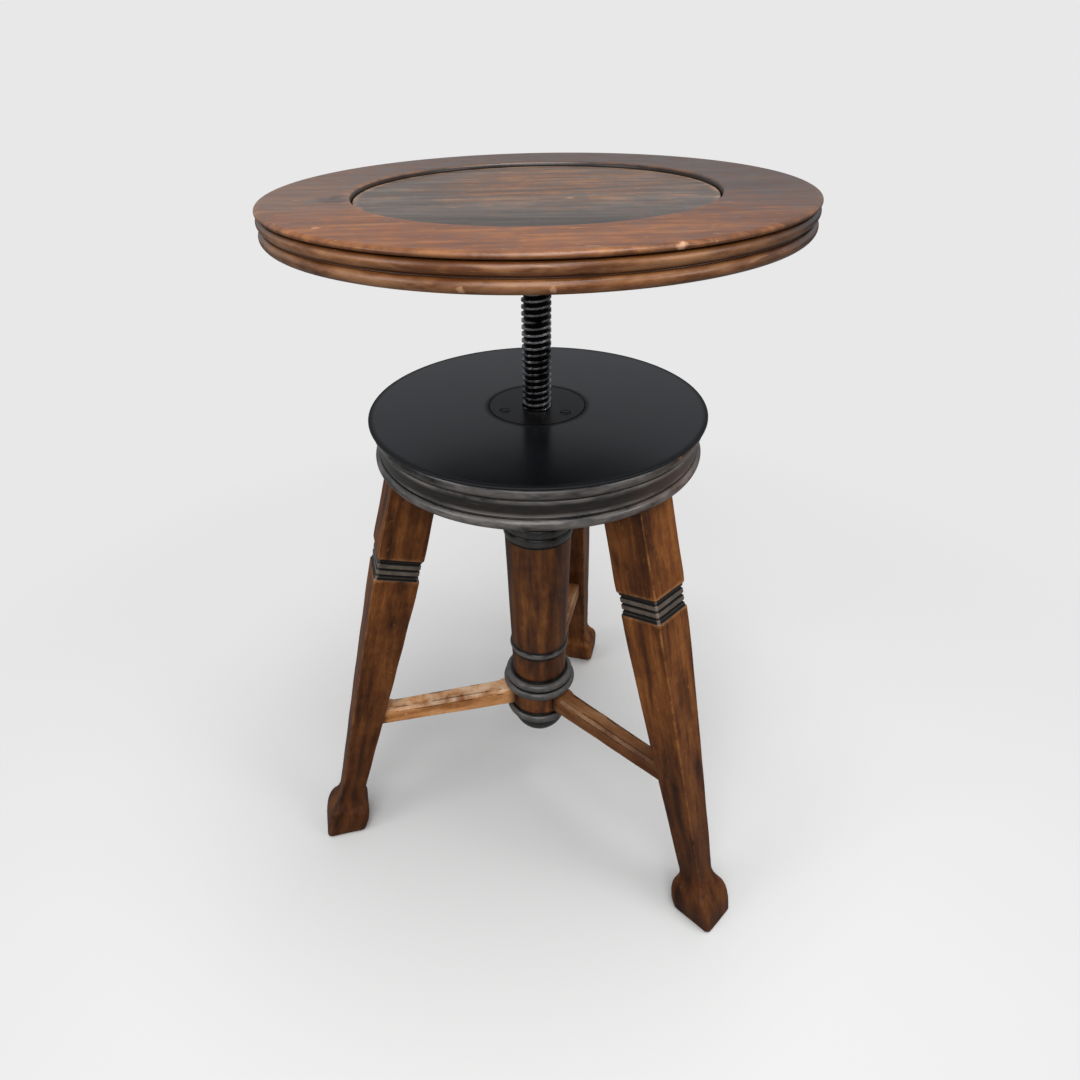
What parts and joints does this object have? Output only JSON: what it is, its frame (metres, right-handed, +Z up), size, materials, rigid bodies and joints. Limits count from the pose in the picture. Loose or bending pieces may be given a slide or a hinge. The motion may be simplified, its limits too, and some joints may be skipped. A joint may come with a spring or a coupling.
{
  "type": "revolving piano stool",
  "caption": "Round wooden seat on an iron screw, which turns to set its height, over a round head with splayed square legs, a turned pillar and stretchers.",
  "frame": {"origin": "where the screw's upright axis meets the floor, midway between the feet", "axes": "+Z up along the screw's axis; -Y towards the side the picture was taken from; one leg stands at 44.8 degrees from +X towards -Y and the others follow every 120 degrees"},
  "size_m": [0.4188, 0.418, 0.609],
  "materials": {
    "varnished_rim": "warm brown varnish, satin",
    "worn_panel": "worn grey-brown veneer, satin",
    "black_lacquer": "black lacquer, satin",
    "ebonised_wood": "ebonised, polished on the beads",
    "pillar_wood": "dark brown varnish",
    "leg_wood": "red-brown varnish, worn at the arrises",
    "stretcher_wood": "orange-brown varnish, scuffed",
    "grey_iron": "blackened",
    "blackened_steel": "turned and blackened, bright on the crests",
    "screw_steel": "darkened"
  },
  "bodies": {
    "base": {"base_top": "black_lacquer", "base_drum": "ebonised_wood", "nut_plate": "grey_iron", "nut_plate_screws": "screw_steel", "pillar": "pillar_wood", "pillar_drop": "ebonised_wood", "leg_right": "leg_wood", "leg_rear": "leg_wood", "leg_left": "leg_wood", "stretcher_right": "stretcher_wood", "stretcher_rear": "stretcher_wood", "stretcher_left": "stretcher_wood"},
    "washer_carrier": {"stop_washer": "blackened_steel"},
    "seat": {"seat_board": "varnished_rim", "seat_panel": "worn_panel", "seat_flange": "grey_iron", "flange_screws": "screw_steel", "flange_pin": "screw_steel", "seat_spindle": "blackened_steel", "stop_nut": "blackened_steel", "split_pin": "screw_steel"}
  },
  "joints": [
    {"name": "seat_rise", "type": "slide", "parent": "base", "child": "washer_carrier", "axis": [0, 0, 1], "range_m": [-0.108, 0.04]},
    {"name": "seat_turn", "type": "hinge", "parent": "washer_carrier", "child": "seat", "pos_m": [0, 0, 0.566], "axis": [0, 0, 1], "range_deg": [-7934, 2938]}
  ],
  "couplings": [
    {"joint": "seat_rise", "follows": "seat_turn", "m_per_rad": 0.00077986}
  ]
}
